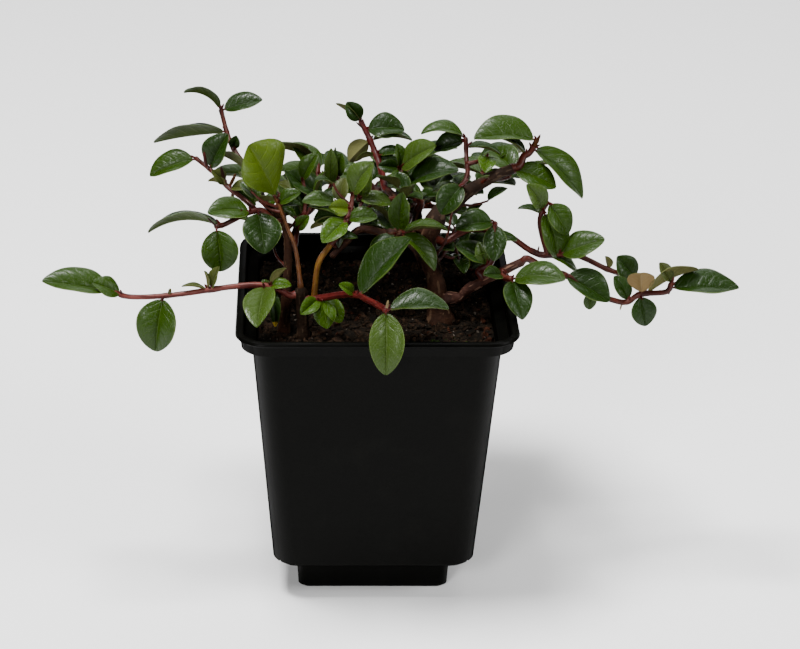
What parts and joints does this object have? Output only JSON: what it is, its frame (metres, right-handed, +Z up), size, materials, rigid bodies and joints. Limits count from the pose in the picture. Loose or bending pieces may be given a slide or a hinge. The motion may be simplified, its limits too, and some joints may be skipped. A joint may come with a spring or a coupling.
{
  "type": "potted evergreen shrub",
  "caption": "Low creeping evergreen shrub with arching woody stems and glossy oval leaves, rooted in a square black nursery pot.",
  "frame": {"origin": "middle of the pot's flat underside, at the surface it stands on", "axes": "+Z up, +X to the right as the picture shows the plant, along its longest spread, +Y away from the viewer"},
  "size_m": [0.2255, 0.1319, 0.1544],
  "materials": {
    "pot": "smooth black moulded plastic with a soft sheen",
    "soil": "damp fibrous peat",
    "bark": "dark brown bark with pale peeling flakes",
    "foliage": "glossy dark green leaves on red-brown shoots"
  },
  "bodies": {
    "root": {"pot": "pot", "soil": "soil", "trunk_left": "bark", "trunk_right": "bark", "stub": "bark", "bough_bright": "bark", "bough_yellow": "bark", "bough_low_east": "bark", "bough_middle": "bark", "bough_east_high": "bark", "bough_crown": "bark", "bough_back": "bark", "foliage_west_runner": "foliage", "foliage_front": "foliage", "foliage_west_low": "foliage", "foliage_west_mid": "foliage", "foliage_west_high": "foliage", "foliage_bright": "foliage", "foliage_centre": "foliage", "foliage_middle": "foliage", "foliage_east_top": "foliage", "foliage_east_arch": "foliage", "foliage_crown_right": "foliage", "foliage_crown_middle": "foliage", "foliage_crown_top": "foliage", "foliage_crown_left": "foliage", "foliage_east_inner": "foliage", "foliage_east_node": "foliage", "foliage_east_runner": "foliage", "foliage_east_low_runner": "foliage", "foliage_back_middle": "foliage", "foliage_back_right": "foliage", "foliage_back_left": "foliage", "foliage_back_east": "foliage", "foliage_inner": "foliage"}
  },
  "joints": []
}
